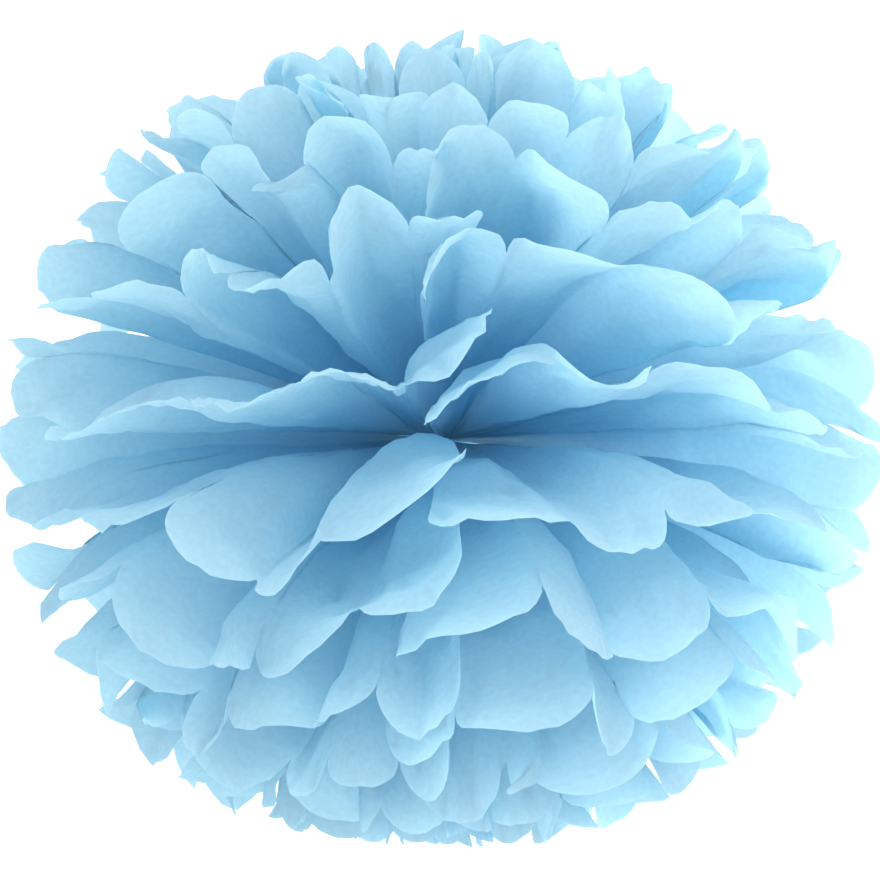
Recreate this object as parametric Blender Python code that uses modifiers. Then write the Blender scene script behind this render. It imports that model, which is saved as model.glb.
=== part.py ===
"""Tissue paper pom pom: twelve pleated sheets tied at the middle and fluffed out.

Each sheet starts as the flat rectangle it was cut from. Its ends are cut round on every
panel, it is pleated across its length, squeezed to a narrow waist by a wire tie, and both
halves are spread round the tie like a fan and lifted or lowered to the sheet's own level.

Frame: origin at the tied centre, X along the tied strip, Z up. Metres.
"""
from math import asin, ceil, cos, exp, pi, radians, sin, sqrt, tanh

import bmesh
import bpy
from mathutils import Vector

# The flat sheet
PANELS = 14                      # pleats across the sheet
PANEL_WIDTH = 0.0357             # one pleat, fold to fold
HALF_LENGTH = 0.153              # middle of the sheet to the tip of a petal
PETAL_DEPTH = 0.0155             # the round end of a panel, tip to notch
PAPER = 0.00010                  # stand-in thickness, thicker than real tissue

# How far each half sheet is lifted from level, in degrees, top sheet first
LEFT_LEVELS = [70, 54, 40, 26, 10.5, -5, -19, -32, -44, -55.5, -67, -78]
RIGHT_LEVELS = [76, 61, 46, 32, 18, 2.5, -13, -26, -38, -50, -61.5, -72.5]
LIFT_LIMIT = 5.0                 # a panel stays this near its half's level
SEAM_LIMIT = 1.2                 # and this near it where the two halves meet
SEAM_REACH = 0.35                # how far from the meeting line that narrow limit fades

# The tied waist
TURN = 0.003                     # length in which a panel turns out of the tied strip
WAIST_HALF_WIDTH = 0.0062
STACK_STEP = 0.0006              # one sheet to the next inside the tie
STACK_ROUND = 7.2                # sheets from the middle at which the round bundle would close
WAIST_FOLD = 0.00008             # depth of the pleats inside the tie
GATHER = 0.100                   # where the squeezed pleats have opened to full width
GATHERED = 0.03                  # share of the panel width left inside the tie
PLEATS_OPEN = 0.040              # where the squeezed pleats may first stand at full depth
LEAST_PLEAT = 0.004              # depth that every fold keeps,
LEAST_PLEAT_FROM = 0.05          # from here outwards

# How unevenly the paper was pulled apart
OVERLAP = 0.012                  # how far a half reaches past the meeting line
OVERLAP_SINE = 0.6               # sine of the largest angle that reach may be
BUNCH = {-1: -0.10, 1: 0.15}     # folds drawn together at the middle of the left and right half
UNEVEN_SPREAD = 2.2              # degrees, each fold round the fan
UNEVEN_LIFT = 1.8                # degrees, each fold up or down
UNEVEN_FROM = 0.08               # where a fold has reached its full unevenness
TIP_CURL = 3.0                   # degrees, each fold at its outer end
CURL_START = 0.100
KNIFE_SHARE = 0.7                # how far spare width lets broad panels lie over narrow ones
KNIFE_LIMIT = 0.45
# degrees, turns, lean, phase
WAVES = [(6.0, 1, 0.0, 1.57), (7.0, 3, 1.5, 0.2), (3.5, 7, -1.0, 0.6)]
SWIRL = (4.0, 1, 4.0, 0.5)       # the same, sideways
DROOP = 5.0                      # degrees, the petals' own weight bends them down
POLE_SQUASH = 0.05               # upright petals reach this much less far
CROWN_SQUASH = 0.06              # and the ones nearest the poles this much less again

# Mesh
ROWS = 6                         # rows of faces from the tie to the petals
ROW_BUNCHING = 2.1               # above 1, the rows lie closer near the tie
END_CUTS = 3                     # points along each round end

# The wire tie
WIRE_RADIUS = 0.00045
TIE_HALF_WIDTH = 0.0076
TIE_HALF_HEIGHT = 0.0049
RING_STEPS = 36
TWIST_RADIUS = 0.0006
TWIST_PITCH = 0.0045
TWIST_LENGTH = 0.012
TWIST_STEPS_PER_TURN = 10


def clear_scene():
    for old in list(bpy.data.objects):
        bpy.data.objects.remove(old, do_unlink=True)


def make_material(name, color, roughness, metallic=0.0):
    material = bpy.data.materials.new(name)
    material.use_nodes = True
    shader = material.node_tree.nodes["Principled BSDF"]
    shader.inputs["Base Color"].default_value = (*color, 1.0)
    shader.inputs["Roughness"].default_value = roughness
    shader.inputs["Metallic"].default_value = metallic
    return material


def ease(x):
    """Smooth step from 0 to 1."""
    x = min(max(x, 0.0), 1.0)
    return x * x * (3.0 - 2.0 * x)


def uneven(fold, sheet, side, kind):
    """A fixed irregular value from -1 to 1 for one fold of one half sheet."""
    return sin(4.37 * fold + 7.91 * sheet + 2.13 * side + 11.3 * kind)


def settle(azimuth, lift, reach):
    """The slow waves that neighbouring sheets share, so that they never cross."""
    for degrees, turns, lean, phase in WAVES:
        lift += radians(degrees) * cos(lift) * sin(turns * azimuth + lean * lift + phase)
    lift -= radians(DROOP) * cos(lift) * reach ** 3
    degrees, turns, lean, phase = SWIRL
    azimuth += radians(degrees) * reach * sin(turns * azimuth + lean * lift + phase)
    return azimuth, lift


def zigzag(fold, sheet):
    """1 for a ridge, -1 for a valley."""
    return 1.0 if (fold + sheet) % 2 == 0 else -1.0


def knife_lean(level):
    """How far, in panels, alternate folds shift so that broad panels cover narrow ones."""
    arc = (HALF_LENGTH - PETAL_DEPTH) * cos(level) * pi / PANELS
    return KNIFE_SHARE * min(max((PANEL_WIDTH / arc - 1.0) / 2.0, 0.0), KNIFE_LIMIT)


def fold_azimuth(fold, sheet, side, level):
    """Where a fold points round the fan, from 0 at the front to pi at the back."""
    ends = []
    for end in (0, 1):
        past = TURN + OVERLAP * (0.5 + 0.5 * uneven(end, sheet, side, 1))
        ends.append(-asin(min(past / (HALF_LENGTH * cos(level)), OVERLAP_SINE)))
    share = fold / PANELS
    share += BUNCH[side] * sin(2.0 * pi * share) / (2.0 * pi)
    spread = ends[0] + (pi - ends[0] - ends[1]) * share
    if 0 < fold < PANELS:
        spread += radians(UNEVEN_SPREAD) * uneven(fold, sheet, side, 2)
        spread += zigzag(fold, sheet) * knife_lean(level) * pi / PANELS
    return spread


def fold_point(fold, sheet, side, along):
    """A point on a fold line, the given length of paper away from the tie."""
    level = radians(RIGHT_LEVELS[sheet] if side > 0 else LEFT_LEVELS[sheet])
    azimuth = fold_azimuth(fold, sheet, side, level)
    turned = TURN * (1.0 - exp(-along / TURN))
    out = along - turned
    ridge = zigzag(fold, sheet)

    # pleat depth left over once the panel's arc is taken up
    width = PANEL_WIDTH * (GATHERED + (1.0 - GATHERED) * ease(along / GATHER))
    arc = along * cos(level) * pi / PANELS * (1.0 + 2.0 * knife_lean(level))
    least = LEAST_PLEAT * ease(along / LEAST_PLEAT_FROM)
    depth = sqrt(max(width * width - arc * arc, least * least))

    off = ridge * depth / (2.0 * max(along, 0.00001))
    off += radians(UNEVEN_LIFT) * uneven(fold, sheet, side, 3) * ease(along / UNEVEN_FROM)
    tip = max(along - CURL_START, 0.0) / (HALF_LENGTH - CURL_START)
    off += radians(TIP_CURL) * uneven(fold, sheet, side, 4) * tip * tip
    open_share = ease(cos(level) * sin(azimuth) / SEAM_REACH)
    limit = radians(SEAM_LIMIT + (LIFT_LIMIT - SEAM_LIMIT) * open_share)
    limit *= max(ease(along / PLEATS_OPEN), 0.001)
    lift = level + limit * tanh(off / limit)

    reach = along / HALF_LENGTH
    azimuth, lift = settle(side * azimuth, lift, reach)
    out *= 1.0 - POLE_SQUASH * sin(lift) ** 2 - CROWN_SQUASH * sin(lift) ** 8
    from_middle = (len(LEFT_LEVELS) - 1) / 2.0 - sheet
    half_width = WAIST_HALF_WIDTH * sqrt(1.0 - (from_middle / STACK_ROUND) ** 2)
    root = Vector((side * turned,
                   half_width * (2.0 * fold / PANELS - 1.0),
                   STACK_STEP * from_middle + ridge * WAIST_FOLD))
    way = Vector((sin(azimuth) * cos(lift), -cos(azimuth) * cos(lift), sin(lift)))
    return root + way * out


def folded_point(across, along, sheet):
    """Where a point of the flat sheet goes: across counts panels, along is signed."""
    side = 1 if along >= 0.0 else -1
    panel = min(int(across), PANELS - 1)
    share = across - panel
    first = fold_point(panel, sheet, side, abs(along))
    if share < 0.001:
        return first
    second = fold_point(panel + 1, sheet, side, abs(along))
    return first.lerp(second, share)


def flat_sheet():
    """The sheet as cut: a grid with a column per panel and a round end on each."""
    mesh = bmesh.new()
    bmesh.ops.create_grid(mesh, x_segments=PANELS, y_segments=2 * ROWS, size=1.0)
    ends = [edge for edge in mesh.edges
            if all(abs(vert.co.y) > 0.999 for vert in edge.verts)]
    bmesh.ops.subdivide_edges(mesh, edges=ends, cuts=END_CUTS)
    notch = HALF_LENGTH - PETAL_DEPTH
    for vert in mesh.verts:
        across = (vert.co.x + 1.0) / 2.0 * PANELS
        if abs(across - round(across)) < 0.001:
            across = round(across)
        along = notch * abs(vert.co.y) ** ROW_BUNCHING * (1.0 if vert.co.y > 0.0 else -1.0)
        if abs(vert.co.y) > 0.999:
            share = across - ceil(across) + 1.0
            along *= 1.0 + PETAL_DEPTH / notch * sqrt(max(1.0 - (2.0 * share - 1.0) ** 2, 0.0))
        vert.co = (across, along, 0.0)
    return mesh


def make_sheet(index, material, collection):
    sheet = flat_sheet()
    for vert in sheet.verts:
        vert.co = folded_point(vert.co.x, vert.co.y, index)
    bmesh.ops.triangulate(sheet, faces=sheet.faces[:])    # both sides bend along the same lines
    name = "tissue_sheet_%02d" % (index + 1)
    data = bpy.data.meshes.new(name)
    sheet.to_mesh(data)
    sheet.free()
    data.materials.append(material)
    piece = bpy.data.objects.new(name, data)
    collection.objects.link(piece)
    paper = piece.modifiers.new("Paper", "SOLIDIFY")
    paper.thickness = PAPER
    paper.offset = 0.0


def tie_route():
    """Twisted end, once round the bundle, twisted end: the two ends wind on each other."""
    gap = asin(TWIST_RADIUS / TIE_HALF_HEIGHT)
    ring = []
    for step in range(RING_STEPS + 1):
        angle = gap + (2.0 * pi - 2.0 * gap) * step / RING_STEPS
        ring.append(Vector((0.0, TIE_HALF_WIDTH * cos(angle), TIE_HALF_HEIGHT * sin(angle))))
    steps = int(TWIST_STEPS_PER_TURN * TWIST_LENGTH / TWIST_PITCH)

    def twisted_end(start_angle):
        points = []
        for step in range(1, steps + 1):
            run = TWIST_LENGTH * step / steps
            angle = start_angle + 2.0 * pi * run / TWIST_PITCH
            points.append(Vector((TWIST_RADIUS * sin(angle - pi / 2.0),
                                  TIE_HALF_WIDTH + run,
                                  TWIST_RADIUS * cos(angle - pi / 2.0))))
        return points

    return list(reversed(twisted_end(pi / 2.0))) + ring + twisted_end(3.0 * pi / 2.0)


def make_tie(material, collection):
    route = tie_route()
    curve = bpy.data.curves.new("wire_tie", "CURVE")
    curve.dimensions = "3D"
    curve.bevel_depth = WIRE_RADIUS
    curve.bevel_resolution = 2
    curve.use_fill_caps = True
    spline = curve.splines.new("POLY")
    spline.points.add(len(route) - 1)
    for point, place in zip(spline.points, route):
        point.co = (*place, 1.0)
    curve.materials.append(material)
    tie = bpy.data.objects.new("wire_tie", curve)
    collection.objects.link(tie)


def main():
    clear_scene()
    pom_pom = bpy.data.collections.new("tissue_pom_pom")
    bpy.context.scene.collection.children.link(pom_pom)
    for index in range(len(LEFT_LEVELS)):
        tissue = make_material("tissue_%02d" % (index + 1), (0.27, 0.56, 0.76), 0.8)
        make_sheet(index, tissue, pom_pom)
    make_tie(make_material("wire", (0.55, 0.56, 0.57), 0.4, 1.0), pom_pom)


main()
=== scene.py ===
from math import asin, cos, pi, radians, sin, sqrt
import bpy
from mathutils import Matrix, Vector


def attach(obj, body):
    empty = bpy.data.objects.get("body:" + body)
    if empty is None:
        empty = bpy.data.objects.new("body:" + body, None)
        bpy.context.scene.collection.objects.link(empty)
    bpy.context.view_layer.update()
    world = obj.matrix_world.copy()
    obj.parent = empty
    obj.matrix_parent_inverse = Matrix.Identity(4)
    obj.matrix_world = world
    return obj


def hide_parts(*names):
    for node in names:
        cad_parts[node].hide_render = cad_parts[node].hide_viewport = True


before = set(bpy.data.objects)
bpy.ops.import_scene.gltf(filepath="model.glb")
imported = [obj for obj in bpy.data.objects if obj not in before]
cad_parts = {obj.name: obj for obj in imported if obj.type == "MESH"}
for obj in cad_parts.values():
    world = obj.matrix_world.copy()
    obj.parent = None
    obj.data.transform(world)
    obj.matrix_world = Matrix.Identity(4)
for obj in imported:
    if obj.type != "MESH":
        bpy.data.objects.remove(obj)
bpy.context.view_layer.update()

scene = bpy.context.scene
print("frame loaded")


def linear(hexColor):
    channels = [int(hexColor[place:place + 2], 16) / 255 for place in (1, 3, 5)]
    return [c / 12.92 if c <= 0.04045 else ((c + 0.055) / 1.055) ** 2.4 for c in channels] + [1.0]


def addNode(tree, kind, values=(), **settings):
    # values go to the inputs in order, or by name from a dictionary; a socket is linked
    node = tree.nodes.new(kind)
    for name, value in settings.items():
        setattr(node, name, value)
    pairs = values.items() if isinstance(values, dict) else enumerate(values)
    for key, value in pairs:
        if isinstance(value, bpy.types.NodeSocket):
            tree.links.new(value, node.inputs[key])
        elif value is not None:
            node.inputs[key].default_value = value
    return node.outputs


def newTree(name, inputs, outputs):
    tree = bpy.data.node_groups.new(name, "GeometryNodeTree")
    for label, kind in inputs:
        tree.interface.new_socket(name=label, in_out="INPUT", socket_type=kind)
    for label, kind in outputs:
        tree.interface.new_socket(name=label, in_out="OUTPUT", socket_type=kind)
    return tree


tissueFinish = {
    "dye": "#d6e6e8",            # lit paper
    "paintedShadeAtTie": "#a9e3fa",       # painted shade: darker, bluer paper near the tie, where the gathered paper lies in shadow
    "paintedShadeTill": 0.04,            # painted shade reaches from the tie this far
    "paleFrom": 0.153,           # the petals' ends
    "glow": "#b7e6f7",           # light that has come through the paper
    "through": 0.75,             # share of the light that passes
    "roughness": 0.8,
    "fibreMm": 2.5,              # cloudiness of the fibres, real flocks are 1 to 4 mm
    "fibreDepth": 0.10,
    "grain": 0.0002,             # height of the fibres, drawn higher than real so that it shows
    "edge": "#e6f6fa",           # painted highlight along cuts and folds, the light their edges catch
    "edgeWidth": 0.0020,
    "edgeLight": 0.75,
}


def tissueMaterial(finish):
    # Machine-glazed tissue, dyed in the pulp: matt, cloudy with fibres, and thin enough
    # that light from behind shows through it. Its base colour holds painted shade, darker towards the tie,
    # and a painted highlight along cuts and folds
    material = bpy.data.materials.new("dyedTissuePaper")
    material.use_nodes = True
    tree = material.node_tree
    tree.nodes.clear()
    flat = addNode(tree, "ShaderNodeUVMap", uv_map="flatSheet")[0]
    fibre = addNode(tree, "ShaderNodeTexNoise",
                    {"Vector": flat, "Scale": 1000 / finish["fibreMm"], "Detail": 4.0,
                     "Roughness": 0.6})[0]
    cloud = addNode(tree, "ShaderNodeMapRange",
                    {"Value": fibre, "From Min": 0.3, "From Max": 0.7,
                     "To Min": 1 - finish["fibreDepth"], "To Max": 1.0})[0]
    # painted highlight: the paper is drawn paler along cuts and folds
    toEdge = addNode(tree, "ShaderNodeAttribute", attribute_name="toEdge")[2]
    edge = addNode(tree, "ShaderNodeMapRange",
                   {"Value": toEdge, "From Max": finish["edgeWidth"],
                    "To Min": finish["edgeLight"], "To Max": 0.0},
                   interpolation_type="SMOOTHSTEP")[0]
    # painted shade: the base colour darkens from the lit paper colour to the painted-shade colour towards the
    # tie
    length = addNode(tree, "ShaderNodeSeparateXYZ", (flat,))[1]
    length = addNode(tree, "ShaderNodeMath", (length,), operation="ABSOLUTE")[0]
    spread = addNode(tree, "ShaderNodeMapRange",
                     {"Value": length, "From Min": finish["paintedShadeTill"],
                      "From Max": finish["paleFrom"]},
                     interpolation_type="SMOOTHSTEP")[0]
    dye = addNode(tree, "ShaderNodeMix",
                  {0: spread, 6: linear(finish["paintedShadeAtTie"]), 7: linear(finish["dye"])},
                  data_type="RGBA")[2]
    dye = addNode(tree, "ShaderNodeMix", {0: edge, 6: dye, 7: linear(finish["edge"])},
                  data_type="RGBA")[2]
    body = addNode(tree, "ShaderNodeMix", {6: dye, 7: cloud, 0: 1.0},
                   data_type="RGBA", blend_type="MULTIPLY")[2]
    glow = addNode(tree, "ShaderNodeMix", {6: linear(finish["glow"]), 7: cloud, 0: 1.0},
                   data_type="RGBA", blend_type="MULTIPLY")[2]
    grain = addNode(tree, "ShaderNodeBump",
                    {"Strength": 0.12, "Distance": finish["grain"], "Height": fibre})[0]
    front = addNode(tree, "ShaderNodeBsdfPrincipled",
                    {"Base Color": body, "Roughness": finish["roughness"],
                     "Specular IOR Level": 0.25, "Normal": grain})[0]
    back = addNode(tree, "ShaderNodeBsdfTranslucent", {"Color": glow, "Normal": grain})[0]
    both = addNode(tree, "ShaderNodeMixShader", (finish["through"], front, back))[0]
    addNode(tree, "ShaderNodeOutputMaterial", (both,))
    return material


sheetCut = {
    "panels": 14,                # pleats across the sheet
    "panelWidth": 0.0357,
    "halfLength": 0.153,         # middle of the sheet to the tip of a petal
    "petalDepth": 0.0155,        # the round end of a panel, tip to notch
}

sheetStack = {
    "leftLevels": [70, 54, 40, 26, 10.5, -5, -19, -32, -44, -55.5, -67, -78],     # degrees
    "rightLevels": [76, 61, 46, 32, 18, 2.5, -13, -26, -38, -50, -61.5, -72.5],
    "bunch": {-1: -0.10, 1: 0.15},    # folds drawn together at the middle of a half
    "overlap": 0.012,            # how far a half reaches past the meeting line
    "overlapSine": 0.6,          # sine of the largest angle that reach may be
    "knifeShare": 0.7,           # how far spare width lets broad panels lie over narrow ones
    "knifeLimit": 0.45,
    "turn": 0.003,               # length in which a panel turns out of the tied strip
    "waistHalfWidth": 0.0062,
    "stackStep": 0.0006,         # one sheet to the next inside the tie
    "stackRound": 7.2,           # sheets from the middle at which the bundle would close
}

sheetSizes = {                   # the same for every sheet: the tree's inputs
    "Panels": sheetCut["panels"],
    "Panel Width": sheetCut["panelWidth"],
    "Half Length": sheetCut["halfLength"],
    "Turn": sheetStack["turn"],
    "Gather": 0.100,             # where the squeezed pleats have opened to full width
    "Gathered": 0.03,            # share of the panel width left inside the tie
    "Lift Limit": radians(5.0),  # a panel stays this near its half's level
    "Seam Limit": radians(1.2),  # and this near it where the two halves meet
    "Pleats Open": 0.040,
    "Seam Reach": 0.35,
    "Uneven Spread": radians(2.2),
    "Uneven Lift": radians(1.8),
    "Tip Curl": radians(3.0),
    "Curl Start": 0.100,
    "Pole Squash": 0.05,
    "Crown Squash": 0.06,
    "Droop": radians(5.0),
    "Least Pleat": 0.004,        # depth that every fold keeps,
    "Least Pleat From": 0.05,    # from here outwards
    "Uneven From": 0.08,         # where a fold has reached its full unevenness
}
unevenSteps = {"fold": 4.37, "sheet": 7.91, "side": 2.13, "kind": 11.3}    # in a sine: never repeats
halfInputs = ["Level", "Front", "Back", "Bunch", "Knife"]
sheetInputs = ["Sheet", "Stack Height", "Waist Half Width"]


def foldLineTree():
    # where a point of a fold line goes, given the fold's number and the paper's length to it
    names = ["Fold", "Along", "Side"] + halfInputs + sheetInputs + list(sheetSizes)
    tree = newTree("foldLine", [(name, "NodeSocketFloat") for name in names],
                   [("Point", "NodeSocketVector")])
    given = addNode(tree, "NodeGroupInput")
    maths = "ShaderNodeMath"

    def ease(low, high, value):
        return addNode(tree, "ShaderNodeMapRange", {"Value": value, "From Min": low, "From Max": high},
                       interpolation_type="SMOOTHSTEP")[0]

    # fixed irregular values, one for each kind of unevenness
    base = addNode(tree, maths, (given["Fold"], unevenSteps["fold"]), operation="MULTIPLY")[0]
    base = addNode(tree, maths, (given["Sheet"], unevenSteps["sheet"], base), operation="MULTIPLY_ADD")[0]
    base = addNode(tree, maths, (given["Side"], unevenSteps["side"], base), operation="MULTIPLY_ADD")[0]
    uneven = []
    for kind in range(2, 5):
        shifted = addNode(tree, maths, (base, unevenSteps["kind"] * kind), operation="ADD")[0]
        uneven.append(addNode(tree, maths, (shifted,), operation="SINE")[0])

    # azimuth
    share = addNode(tree, maths, (given["Fold"], given["Panels"]), operation="DIVIDE")[0]
    bunch = addNode(tree, maths, (share, 2 * pi), operation="MULTIPLY")[0]
    bunch = addNode(tree, maths, (bunch,), operation="SINE")[0]
    bunch = addNode(tree, maths, (bunch, given["Bunch"]), operation="MULTIPLY")[0]
    bunched = addNode(tree, maths, (bunch, 0.5 / pi, share), operation="MULTIPLY_ADD")[0]
    azimuth = addNode(tree, "ShaderNodeMapRange",
                      {"Value": bunched, "To Min": given["Front"], "To Max": given["Back"]})[0]
    inside = addNode(tree, maths, (share, 0.5), operation="SUBTRACT")[0]
    inside = addNode(tree, maths, (inside,), operation="ABSOLUTE")[0]
    inside = addNode(tree, maths, (inside, 0.49), operation="LESS_THAN")[0]
    sums = addNode(tree, maths, (given["Fold"], given["Sheet"]), operation="ADD")[0]
    even = addNode(tree, maths, (sums, 2.0), operation="FLOORED_MODULO")[0]
    zigzag = addNode(tree, "ShaderNodeMapRange", {"Value": even, "To Min": 1.0, "To Max": -1.0})[0]
    knife = addNode(tree, maths, (zigzag, given["Knife"]), operation="MULTIPLY")[0]
    spread = addNode(tree, maths, (uneven[0], given["Uneven Spread"]), operation="MULTIPLY")[0]
    spread = addNode(tree, maths, (knife, pi / sheetCut["panels"], spread), operation="MULTIPLY_ADD")[0]
    azimuth = addNode(tree, maths, (spread, inside, azimuth), operation="MULTIPLY_ADD")[0]

    # paper used up in turning out of the tied strip
    decay = addNode(tree, maths, (given["Along"], given["Turn"]), operation="DIVIDE")[0]
    decay = addNode(tree, maths, (decay, -1.0), operation="MULTIPLY")[0]
    decay = addNode(tree, maths, (decay,), operation="EXPONENT")[0]
    turned = addNode(tree, maths, (1.0, decay), operation="SUBTRACT")[0]
    turned = addNode(tree, maths, (turned, given["Turn"]), operation="MULTIPLY")[0]
    out = addNode(tree, maths, (given["Along"], turned), operation="SUBTRACT")[0]

    # pleat depth left over once the panel's arc is taken up
    opened = ease(0.0, given["Gather"], given["Along"])
    opened = addNode(tree, "ShaderNodeMapRange", {"Value": opened, "To Min": given["Gathered"]})[0]
    width = addNode(tree, maths, (opened, given["Panel Width"]), operation="MULTIPLY")[0]
    flatness = addNode(tree, maths, (given["Level"],), operation="COSINE")[0]
    arc = addNode(tree, maths, (given["Along"], flatness), operation="MULTIPLY")[0]
    broad = addNode(tree, maths, (given["Knife"], 2.0, 1.0), operation="MULTIPLY_ADD")[0]
    broad = addNode(tree, maths, (broad, pi / sheetCut["panels"]), operation="MULTIPLY")[0]
    arc = addNode(tree, maths, (arc, broad), operation="MULTIPLY")[0]
    arcSquare = addNode(tree, maths, (arc, 2.0), operation="POWER")[0]
    widthSquare = addNode(tree, maths, (width, 2.0), operation="POWER")[0]
    depth = addNode(tree, maths, (widthSquare, arcSquare), operation="SUBTRACT")[0]
    least = ease(0.0, given["Least Pleat From"], given["Along"])
    least = addNode(tree, maths, (least, given["Least Pleat"]), operation="MULTIPLY")[0]
    least = addNode(tree, maths, (least, 2.0), operation="POWER")[0]
    depth = addNode(tree, maths, (depth, least), operation="MAXIMUM")[0]
    depth = addNode(tree, maths, (depth,), operation="SQRT")[0]
    safe = addNode(tree, maths, (given["Along"], 0.00001), operation="MAXIMUM")[0]
    off = addNode(tree, maths, (depth, safe), operation="DIVIDE")[0]
    off = addNode(tree, maths, (off, 0.5), operation="MULTIPLY")[0]
    off = addNode(tree, maths, (off, zigzag), operation="MULTIPLY")[0]
    lifted = addNode(tree, maths, (uneven[1], given["Uneven Lift"]), operation="MULTIPLY")[0]
    unevenShare = ease(0.0, given["Uneven From"], given["Along"])
    off = addNode(tree, maths, (lifted, unevenShare, off), operation="MULTIPLY_ADD")[0]
    tip = addNode(tree, "ShaderNodeMapRange",
                  {"Value": given["Along"], "From Min": given["Curl Start"],
                   "From Max": given["Half Length"]})[0]
    tip = addNode(tree, maths, (tip, 2.0), operation="POWER")[0]
    curl = addNode(tree, maths, (uneven[2], given["Tip Curl"]), operation="MULTIPLY")[0]
    off = addNode(tree, maths, (curl, tip, off), operation="MULTIPLY_ADD")[0]

    # held near the half's own level, closest where the two halves meet
    away = addNode(tree, maths, (azimuth,), operation="SINE")[0]
    away = addNode(tree, maths, (away, flatness), operation="MULTIPLY")[0]
    limit = ease(0.0, given["Seam Reach"], away)
    limit = addNode(tree, "ShaderNodeMapRange",
                    {"Value": limit, "To Min": given["Seam Limit"], "To Max": given["Lift Limit"]})[0]
    standing = addNode(tree, maths, (ease(0.0, given["Pleats Open"], given["Along"]), 0.001),
                       operation="MAXIMUM")[0]
    limit = addNode(tree, maths, (limit, standing), operation="MULTIPLY")[0]
    off = addNode(tree, maths, (off, limit), operation="DIVIDE")[0]
    off = addNode(tree, maths, (off,), operation="TANH")[0]
    lift = addNode(tree, maths, (off, limit, given["Level"]), operation="MULTIPLY_ADD")[0]

    # slow waves shared by neighbouring sheets
    azimuth = addNode(tree, maths, (azimuth, given["Side"]), operation="MULTIPLY")[0]
    for waveDegrees, turns, lean, phase in sheetWaves["waves"]:
        angle = addNode(tree, maths, (azimuth, turns, phase), operation="MULTIPLY_ADD")[0]
        angle = addNode(tree, maths, (lift, lean, angle), operation="MULTIPLY_ADD")[0]
        wave = addNode(tree, maths, (angle,), operation="SINE")[0]
        level = addNode(tree, maths, (lift,), operation="COSINE")[0]
        wave = addNode(tree, maths, (wave, level), operation="MULTIPLY")[0]
        lift = addNode(tree, maths, (wave, radians(waveDegrees), lift), operation="MULTIPLY_ADD")[0]
    reach = addNode(tree, maths, (given["Along"], given["Half Length"]), operation="DIVIDE")[0]
    level = addNode(tree, maths, (lift,), operation="COSINE")[0]
    droop = addNode(tree, maths, (reach, 3.0), operation="POWER")[0]
    droop = addNode(tree, maths, (droop, given["Droop"]), operation="MULTIPLY")[0]
    droop = addNode(tree, maths, (droop, level), operation="MULTIPLY")[0]
    lift = addNode(tree, maths, (lift, droop), operation="SUBTRACT")[0]
    swirlDegrees, turns, lean, phase = sheetWaves["swirl"]
    angle = addNode(tree, maths, (azimuth, turns, phase), operation="MULTIPLY_ADD")[0]
    angle = addNode(tree, maths, (lift, lean, angle), operation="MULTIPLY_ADD")[0]
    swirl = addNode(tree, maths, (angle,), operation="SINE")[0]
    swirl = addNode(tree, maths, (swirl, reach), operation="MULTIPLY")[0]
    azimuth = addNode(tree, maths, (swirl, radians(swirlDegrees), azimuth), operation="MULTIPLY_ADD")[0]

    # the point
    up = addNode(tree, maths, (lift,), operation="SINE")[0]
    level = addNode(tree, maths, (lift,), operation="COSINE")[0]
    squash = addNode(tree, maths, (up, up), operation="MULTIPLY")[0]
    crown = addNode(tree, maths, (squash, 4.0), operation="POWER")[0]
    squash = addNode(tree, maths, (squash, given["Pole Squash"]), operation="MULTIPLY")[0]
    squash = addNode(tree, maths, (crown, given["Crown Squash"], squash), operation="MULTIPLY_ADD")[0]
    squash = addNode(tree, maths, (1.0, squash), operation="SUBTRACT")[0]
    out = addNode(tree, maths, (out, squash), operation="MULTIPLY")[0]
    right = addNode(tree, maths, (azimuth,), operation="SINE")[0]
    right = addNode(tree, maths, (right, level), operation="MULTIPLY")[0]
    back = addNode(tree, maths, (azimuth,), operation="COSINE")[0]
    back = addNode(tree, maths, (back, level), operation="MULTIPLY")[0]
    back = addNode(tree, maths, (back, -1.0), operation="MULTIPLY")[0]
    way = addNode(tree, "ShaderNodeCombineXYZ", (right, back, up))[0]
    rootX = addNode(tree, maths, (turned, given["Side"]), operation="MULTIPLY")[0]
    rootX = addNode(tree, maths, (rootX, inside), operation="MULTIPLY")[0]    # the halves' free edges meet
    rootY = addNode(tree, "ShaderNodeMapRange", {"Value": share, "To Min": -1.0})[0]
    rootY = addNode(tree, maths, (rootY, given["Waist Half Width"]), operation="MULTIPLY")[0]
    root = addNode(tree, "ShaderNodeCombineXYZ", (rootX, rootY, given["Stack Height"]))[0]
    point = addNode(tree, "ShaderNodeVectorMath", {0: way, "Scale": out}, operation="SCALE")[0]
    point = addNode(tree, "ShaderNodeVectorMath", (root, point), operation="ADD")[0]
    addNode(tree, "NodeGroupOutput", (point,))
    return tree


sheetWaves = {
    "waves": [(6.0, 1, 0.0, 1.57), (7.0, 3, 1.5, 0.2), (3.5, 7, -1.0, 0.6)],  # degrees, turns, lean, phase
    "swirl": (4.0, 1, 4.0, 0.5),
}

sheetMesh = {
    "columns": 14,               # faces across one panel
    "rows": 44,                  # faces from the tie to the petal's end
    "bunching": 1.25,            # above 1, rows lie closer near the tie
}

panelSteps = {                   # in a sine, these pick which panels bow or roll which way
    "cup": (3.7, 5.3),           # panel, sheet
    "roll": (2.9, 6.1, 1.7),     # panel, sheet, side
}

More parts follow.
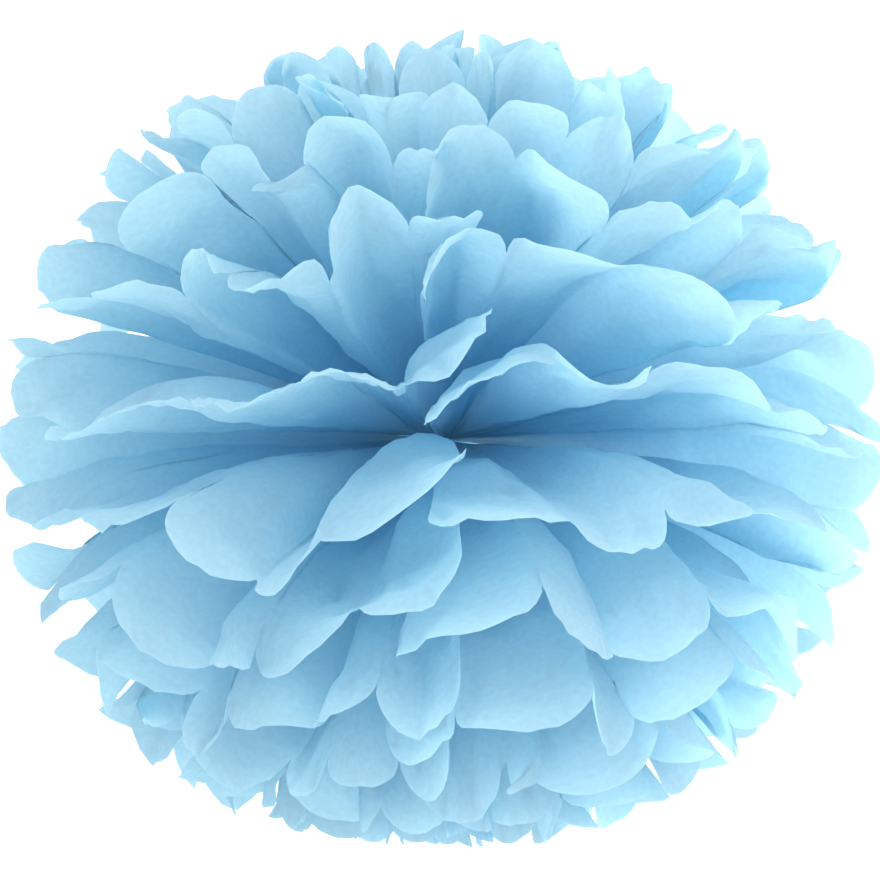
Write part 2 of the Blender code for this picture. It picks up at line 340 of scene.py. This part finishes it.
sheetForm = {
    "Cup": 1.0,                  # how far a squeezed panel bows out
    "Most Cup": 0.009,
    "Least Cup": 0.0012,
    "Crumple": 0.0030,           # height of the soft creases
    "Crumple Size": 0.026,
    "Creases": 0.0065,           # sharper creases, mostly along the sheet
    "Crease Size": 0.013,
    "Creases Along": 22.0,       # of them in a metre along the sheet
    "Tip Roll": 0.010,           # how far a petal's tip rolls up or down
    "Roll Start": 0.105,
    "Gathers": 0.0016,           # fine creases that run out from the tie
    "Gather Size": 0.0025,
    "Gathers Along": 25.0,
    "Gathers Full": 0.03,        # they reach full height here,
    "Gathers Fade": 0.02,        # and fade from here
    "Gathers End": 0.13,         # to here
    "Fold Dimming": 1.6,         # folds catch less light than cuts
    "Fold Margin": 0.0006,
}


def pleatedSheetTree():
    halves = [half + side for half in halfInputs for side in (" Left", " Right")]
    floats = halves + sheetInputs + list(sheetSizes) + list(sheetForm)
    inputs = [("Geometry", "NodeSocketGeometry")] + [(name, "NodeSocketFloat") for name in floats]
    inputs.append(("Tissue", "NodeSocketMaterial"))
    tree = newTree("pleatedSheet", inputs, [("Geometry", "NodeSocketGeometry")])
    given = addNode(tree, "NodeGroupInput")
    maths = "ShaderNodeMath"
    vectors = "ShaderNodeVectorMath"
    panels = sheetCut["panels"]

    # the flat sheet: x counts panels, y runs from one cut end to the other
    grid = addNode(tree, "GeometryNodeMeshGrid",
                   (panels, 2.0, panels * sheetMesh["columns"] + 1, 2 * sheetMesh["rows"] + 1))[0]
    place = addNode(tree, "GeometryNodeInputPosition")[0]
    x, y = addNode(tree, "ShaderNodeSeparateXYZ", (place,))[:2]
    across = addNode(tree, maths, (x, panels / 2), operation="ADD")[0]
    nudged = addNode(tree, maths, (across, 0.0001), operation="ADD")[0]
    panel = addNode(tree, maths, (nudged,), operation="FLOOR")[0]
    panel = addNode(tree, maths, (panel, panels - 1), operation="MINIMUM")[0]
    share = addNode(tree, maths, (across, panel), operation="SUBTRACT")[0]
    turn = addNode(tree, maths, (share, pi), operation="MULTIPLY")[0]
    roundEnd = addNode(tree, maths, (turn,), operation="SINE")[0]
    cosine = addNode(tree, maths, (turn,), operation="COSINE")[0]
    share = addNode(tree, "ShaderNodeMapRange", {"Value": cosine, "From Min": 1.0, "From Max": -1.0})[0]
    side = addNode(tree, maths, (y, -0.000001), operation="GREATER_THAN")[0]
    row = addNode(tree, maths, (y,), operation="ABSOLUTE")[0]
    row = addNode(tree, maths, (row, sheetMesh["bunching"]), operation="POWER")[0]
    notch = addNode(tree, maths, (given["Half Length"], sheetCut["petalDepth"]), operation="SUBTRACT")[0]
    length = addNode(tree, maths, (roundEnd, sheetCut["petalDepth"], notch), operation="MULTIPLY_ADD")[0]
    along = addNode(tree, maths, (row, length), operation="MULTIPLY")[0]
    signedSide = addNode(tree, "ShaderNodeMapRange", {"Value": side, "To Min": -1.0})[0]

    # the two folds beside the point, and the straight line between them
    chosen = {half: addNode(tree, "ShaderNodeMapRange",
                            {"Value": side, "To Min": given[half + " Left"],
                             "To Max": given[half + " Right"]})[0] for half in halfInputs}
    shared = {name: given[name] for name in sheetInputs + list(sheetSizes)}
    foldTree = foldLineTree()
    nextFold = addNode(tree, maths, (panel, 1.0), operation="ADD")[0]
    folds = []
    for fold in (panel, nextFold):
        values = {"Fold": fold, "Along": along, "Side": signedSide, **chosen, **shared}
        group = tree.nodes.new("GeometryNodeGroup")
        group.node_tree = foldTree
        for name, socket in values.items():
            tree.links.new(socket, group.inputs[name])
        folds.append(group.outputs[0])
    point = addNode(tree, "ShaderNodeMix", {0: share, 4: folds[0], 5: folds[1]},
                    data_type="VECTOR")[1]

    # the width that a squeezed panel can't use bows it out
    chordWay = addNode(tree, vectors, (folds[1], folds[0]), operation="SUBTRACT")[0]
    chord = addNode(tree, vectors, (chordWay,), operation="LENGTH")[1]
    opened = addNode(tree, "ShaderNodeMapRange",
                     {"Value": along, "From Max": given["Gather"]},
                     interpolation_type="SMOOTHSTEP")[0]
    opened = addNode(tree, "ShaderNodeMapRange", {"Value": opened, "To Min": given["Gathered"]})[0]
    spare = addNode(tree, maths, (opened, given["Panel Width"]), operation="MULTIPLY")[0]
    spare = addNode(tree, maths, (spare, chord), operation="SUBTRACT")[0]
    spare = addNode(tree, maths, (spare, 0.0), operation="MAXIMUM")[0]
    bow = addNode(tree, maths, (spare, chord), operation="MULTIPLY")[0]
    bow = addNode(tree, maths, (bow, 3 / 8), operation="MULTIPLY")[0]    # rise of a shallow arc
    bow = addNode(tree, maths, (bow,), operation="SQRT")[0]
    bow = addNode(tree, maths, (bow, given["Most Cup"]), operation="MINIMUM")[0]
    bow = addNode(tree, maths, (bow, given["Cup"]), operation="MULTIPLY")[0]
    bow = addNode(tree, maths, (bow, given["Least Cup"]), operation="ADD")[0]
    perPanel, perSheet = panelSteps["cup"]
    pick = addNode(tree, maths, (panel, perPanel), operation="MULTIPLY")[0]
    pick = addNode(tree, maths, (given["Sheet"], perSheet, pick), operation="MULTIPLY_ADD")[0]
    pick = addNode(tree, maths, (pick,), operation="SINE")[0]
    pick = addNode(tree, "ShaderNodeMapRange", {"Value": pick, "From Min": -0.5, "From Max": 0.1,
                                                "To Min": -0.6, "To Max": 1.0})[0]
    bow = addNode(tree, maths, (bow, pick), operation="MULTIPLY")[0]
    perPanel, perSheet, perSide = panelSteps["roll"]
    rolls = addNode(tree, maths, (panel, perPanel), operation="MULTIPLY")[0]
    rolls = addNode(tree, maths, (given["Sheet"], perSheet, rolls), operation="MULTIPLY_ADD")[0]
    rolls = addNode(tree, maths, (signedSide, perSide, rolls), operation="MULTIPLY_ADD")[0]
    rolls = addNode(tree, maths, (rolls,), operation="SINE")[0]
    tip = addNode(tree, "ShaderNodeMapRange",
                  {"Value": along, "From Min": given["Roll Start"], "From Max": given["Half Length"]})[0]
    tip = addNode(tree, maths, (tip, 2.0), operation="POWER")[0]
    roll = addNode(tree, maths, (tip, rolls), operation="MULTIPLY")[0]
    roll = addNode(tree, maths, (roll, given["Tip Roll"]), operation="MULTIPLY")[0]
    bow = addNode(tree, maths, (bow, roll), operation="ADD")[0]
    bow = addNode(tree, maths, (bow, signedSide), operation="MULTIPLY")[0]
    arch = addNode(tree, maths, (roundEnd, roundEnd), operation="MULTIPLY")[0]
    reach = addNode(tree, "ShaderNodeMapRange",
                    {"Value": along, "From Max": given["Half Length"]},
                    interpolation_type="SMOOTHSTEP")[0]
    arch = addNode(tree, maths, (arch, reach), operation="MULTIPLY")[0]
    bow = addNode(tree, maths, (bow, arch), operation="MULTIPLY")[0]

    # soft creases of handled tissue, drawn on the flat paper
    flatAcross = addNode(tree, maths, (panel, share), operation="ADD")[0]
    flatAcross = addNode(tree, maths, (flatAcross, given["Panel Width"]), operation="MULTIPLY")[0]
    flatAlong = addNode(tree, maths, (along, signedSide), operation="MULTIPLY")[0]
    flat = addNode(tree, "ShaderNodeCombineXYZ", (flatAcross, flatAlong, 0.0))[0]
    offset = addNode(tree, "ShaderNodeCombineXYZ", (0.0, 0.0, given["Sheet"]))[0]
    cell = addNode(tree, maths, (1.0, given["Crumple Size"]), operation="DIVIDE")[0]
    crumpleAt = addNode(tree, vectors, {0: flat, "Scale": cell}, operation="SCALE")[0]
    crumpleAt = addNode(tree, vectors, (crumpleAt, offset), operation="ADD")[0]
    crumple = addNode(tree, "ShaderNodeTexNoise", {"Vector": crumpleAt, "Scale": 1.0, "Detail": 2.0})[0]
    crumple = addNode(tree, "ShaderNodeMapRange", {"Value": crumple, "To Min": -1.0})[0]
    crumple = addNode(tree, maths, (crumple, given["Crumple"]), operation="MULTIPLY")[0]
    crumple = addNode(tree, maths, (crumple, reach), operation="MULTIPLY")[0]
    creaseX = addNode(tree, maths, (flatAcross, given["Crease Size"]), operation="DIVIDE")[0]
    creaseY = addNode(tree, maths, (flatAlong, given["Creases Along"]), operation="MULTIPLY")[0]
    creaseAt = addNode(tree, "ShaderNodeCombineXYZ", (creaseX, creaseY, given["Sheet"]))[0]
    creases = addNode(tree, "ShaderNodeTexNoise", {"Vector": creaseAt, "Scale": 1.0, "Detail": 1.0,
                                                   "Distortion": 0.6})[0]
    creases = addNode(tree, "ShaderNodeMapRange", {"Value": creases, "To Min": -1.0})[0]
    creases = addNode(tree, maths, (creases,), operation="ABSOLUTE")[0]
    creases = addNode(tree, maths, (creases, given["Creases"]), operation="MULTIPLY")[0]
    creases = addNode(tree, maths, (creases, reach), operation="MULTIPLY")[0]
    fine = addNode(tree, maths, (flatAcross, given["Gather Size"]), operation="DIVIDE")[0]
    slow = addNode(tree, maths, (flatAlong, given["Gathers Along"]), operation="MULTIPLY")[0]
    gatherAt = addNode(tree, "ShaderNodeCombineXYZ", (fine, slow, given["Sheet"]))[0]
    gathers = addNode(tree, "ShaderNodeTexNoise", {"Vector": gatherAt, "Scale": 1.0, "Detail": 1.0})[0]
    gathers = addNode(tree, "ShaderNodeMapRange", {"Value": gathers, "To Min": -1.0})[0]
    fade = addNode(tree, "ShaderNodeMapRange",
                   {"Value": along, "From Min": given["Gathers Fade"], "From Max": given["Gathers End"],
                    "To Min": 1.0, "To Max": 0.0})[0]
    start = addNode(tree, "ShaderNodeMapRange", {"Value": along, "From Max": given["Gathers Full"]})[0]
    gathers = addNode(tree, maths, (gathers, fade), operation="MULTIPLY")[0]
    gathers = addNode(tree, maths, (gathers, start), operation="MULTIPLY")[0]
    gathers = addNode(tree, maths, (gathers, given["Gathers"]), operation="MULTIPLY")[0]

    bow = addNode(tree, maths, (bow, crumple), operation="ADD")[0]
    bow = addNode(tree, maths, (bow, creases), operation="ADD")[0]
    bow = addNode(tree, maths, (bow, gathers), operation="ADD")[0]
    outWay = addNode(tree, vectors, (point,), operation="NORMALIZE")[0]
    normal = addNode(tree, vectors, (outWay, chordWay), operation="CROSS_PRODUCT")[0]
    normal = addNode(tree, vectors, (normal,), operation="NORMALIZE")[0]
    push = addNode(tree, vectors, {0: normal, "Scale": bow}, operation="SCALE")[0]
    point = addNode(tree, vectors, (point, push), operation="ADD")[0]

    # paper left to the nearest cut or fold, for the light that edges and creases catch
    toCut = addNode(tree, maths, (1.0, row), operation="SUBTRACT")[0]
    toCut = addNode(tree, maths, (toCut, given["Half Length"]), operation="MULTIPLY")[0]
    toFold = addNode(tree, maths, (share, 0.5), operation="SUBTRACT")[0]
    toFold = addNode(tree, maths, (toFold,), operation="ABSOLUTE")[0]
    toFold = addNode(tree, maths, (0.5, toFold), operation="SUBTRACT")[0]
    toFold = addNode(tree, maths, (toFold, given["Panel Width"]), operation="MULTIPLY")[0]
    toFold = addNode(tree, maths, (toFold, given["Fold Dimming"], given["Fold Margin"]),
                     operation="MULTIPLY_ADD")[0]
    toEdge = addNode(tree, maths, (toCut, toFold), operation="MINIMUM")[0]
    edged = addNode(tree, "GeometryNodeStoreNamedAttribute",
                    {"Geometry": grid, "Name": "toEdge", "Value": toEdge},
                    data_type="FLOAT", domain="POINT")[0]

    # the flat place of every corner is kept for the paper's own pattern
    kept = addNode(tree, "GeometryNodeStoreNamedAttribute",
                   {"Geometry": edged, "Name": "flatSheet", "Value": flat},
                   data_type="FLOAT2", domain="CORNER")[0]
    folded = addNode(tree, "GeometryNodeSetPosition", {"Geometry": kept, "Position": point})[0]
    smooth = addNode(tree, "GeometryNodeSetShadeSmooth", {"Geometry": folded, "Shade Smooth": True})[0]
    real = addNode(tree, "GeometryNodeRealizeInstances", (smooth,))[0]
    done = addNode(tree, "GeometryNodeSetMaterial", {"Geometry": real, "Material": given["Tissue"]})[0]
    addNode(tree, "NodeGroupOutput", (done,))
    return tree


def seamAngle(level, end, sheet, side):
    # how far a half sheet's free edge reaches past the line where the halves meet
    unevenEnd = sin(unevenSteps["fold"] * end + unevenSteps["sheet"] * sheet
                    + unevenSteps["side"] * side + unevenSteps["kind"])
    past = sheetStack["turn"] + sheetStack["overlap"] * (0.5 + 0.5 * unevenEnd)
    return -asin(min(past / (sheetCut["halfLength"] * cos(level)), sheetStack["overlapSine"]))


def knifeLean(level):
    # how far, in panels, alternate folds shift so that broad panels cover narrow ones
    arc = (sheetCut["halfLength"] - sheetCut["petalDepth"]) * cos(level) * pi / sheetCut["panels"]
    return sheetStack["knifeShare"] * min(max((sheetCut["panelWidth"] / arc - 1) / 2, 0),
                                          sheetStack["knifeLimit"])


def makeSheet(index, tree, tissue):
    values = dict(sheetSizes)
    values.update(sheetForm)
    fromMiddle = (len(sheetStack["leftLevels"]) - 1) / 2 - index
    values["Sheet"] = float(index)
    values["Stack Height"] = sheetStack["stackStep"] * fromMiddle
    values["Waist Half Width"] = (sheetStack["waistHalfWidth"]
                                  * sqrt(1 - (fromMiddle / sheetStack["stackRound"]) ** 2))
    for name, side, levels in ((" Left", -1, "leftLevels"), (" Right", 1, "rightLevels")):
        level = radians(sheetStack[levels][index])
        values["Bunch" + name] = sheetStack["bunch"][side]
        values["Level" + name] = level
        values["Knife" + name] = knifeLean(level)
        values["Front" + name] = seamAngle(level, 0, index, side)
        values["Back" + name] = pi - seamAngle(level, 1, index, side)
    values["Tissue"] = tissue

    node = "tissue_sheet_%02d" % (index + 1)
    seedMesh = bpy.data.meshes.new("seed")
    maker = bpy.data.objects.new("maker", seedMesh)
    scene.collection.objects.link(maker)
    modifier = maker.modifiers.new("Pleats", "NODES")
    modifier.node_group = tree
    sockets = {item.name: item.identifier for item in tree.interface.items_tree
               if item.in_out == "INPUT"}
    for name, value in values.items():
        modifier[sockets[name]] = value if name == "Tissue" else float(value)
    bpy.context.view_layer.update()
    ready = maker.evaluated_get(bpy.context.evaluated_depsgraph_get())
    mesh = bpy.data.meshes.new_from_object(ready)
    mesh.name = node
    bpy.data.objects.remove(maker)
    piece = bpy.data.objects.new("paper_" + node, mesh)
    scene.collection.objects.link(piece)
    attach(piece, "root")
    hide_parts(node)


tissue = tissueMaterial(tissueFinish)
sheetTree = pleatedSheetTree()
for index in range(len(sheetStack["leftLevels"])):
    makeSheet(index, sheetTree, tissue)
print("tissue sheets folded")


wireFinish = {
    "zinc": "#b9bcbe",
    "spangleMm": 0.4,
    "smoothest": 0.32,
    "roughest": 0.5,
}


def wireMaterial(finish):
    # Galvanised florist's wire: dull zinc with a fine spangle that breaks up its shine
    material = bpy.data.materials.new("galvanisedWire")
    material.use_nodes = True
    tree = material.node_tree
    tree.nodes.clear()
    place = addNode(tree, "ShaderNodeTexCoord")["Object"]
    spangle = addNode(tree, "ShaderNodeTexVoronoi", {"Vector": place, "Scale": 1000 / finish["spangleMm"]})[0]
    rough = addNode(tree, "ShaderNodeMapRange",
                    {"Value": spangle, "To Min": finish["smoothest"], "To Max": finish["roughest"]})[0]
    metal = addNode(tree, "ShaderNodeBsdfPrincipled",
                    {"Base Color": linear(finish["zinc"]), "Metallic": 1.0, "Roughness": rough})[0]
    addNode(tree, "ShaderNodeOutputMaterial", (metal,))
    return material


wire = wireMaterial(wireFinish)
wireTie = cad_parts["wire_tie"]
wireTie.data.materials.clear()
wireTie.data.materials.append(wire)
print("wire tie finished")


studio = {
    "cameraLevel": 3.0,          # degrees above level
    "cameraDistance": 1.3,
    "fieldWidth": 0.302,         # what the view takes in at the ball's middle
    "lookAt": (0.0, 0.0, 0.0),
    "sky": 1.36,
    "floorDrop": 0.25,
    "floorHalf": 3.0,
    "floor": "#fbfbfb",
    "lights": {                  # watts, size, place
        "softKey": (5.0, 1.0, (0.9, -1.1, 1.0)),
        "lowRight": (12.0, 1.2, (1.0, 0.5, -0.1)),
    },
}


def makeStudio():
    scene.view_settings.view_transform = "Standard"    # the dye's own colours, not toned down
    world = bpy.data.worlds.new("studio")
    scene.world = world
    world.use_nodes = True
    background = world.node_tree.nodes["Background"]
    background.inputs[0].default_value = linear("#ffffff")
    background.inputs[1].default_value = studio["sky"]

    cameraData = bpy.data.cameras.new("camera")
    cameraData.sensor_width = 36.0
    cameraData.lens = 36.0 * studio["cameraDistance"] / studio["fieldWidth"]
    camera = bpy.data.objects.new("camera", cameraData)
    scene.collection.objects.link(camera)
    scene.camera = camera
    lift = radians(studio["cameraLevel"])
    target = Vector(studio["lookAt"])
    camera.location = target + Vector((0, -cos(lift), sin(lift))) * studio["cameraDistance"]
    camera.rotation_euler = (target - camera.location).to_track_quat("-Z", "Y").to_euler()

    for name, (watts, size, place) in studio["lights"].items():
        lightData = bpy.data.lights.new(name, "AREA")
        lightData.energy = watts
        lightData.size = size
        light = bpy.data.objects.new(name, lightData)
        scene.collection.objects.link(light)
        light.location = place
        light.rotation_euler = (-light.location).to_track_quat("-Z", "Y").to_euler()

    floorMesh = bpy.data.meshes.new("floor")
    half = studio["floorHalf"]
    drop = -studio["floorDrop"]
    floorMesh.from_pydata([(-half, -half, drop), (half, -half, drop), (half, half, drop),
                           (-half, half, drop)], [], [(0, 1, 2, 3)])
    floor = bpy.data.objects.new("floor", floorMesh)
    scene.collection.objects.link(floor)
    paint = bpy.data.materials.new("paleFloor")
    paint.use_nodes = True
    coat = paint.node_tree.nodes["Principled BSDF"]
    coat.inputs["Base Color"].default_value = linear(studio["floor"])
    floor.data.materials.append(paint)


makeStudio()
print("studio set")
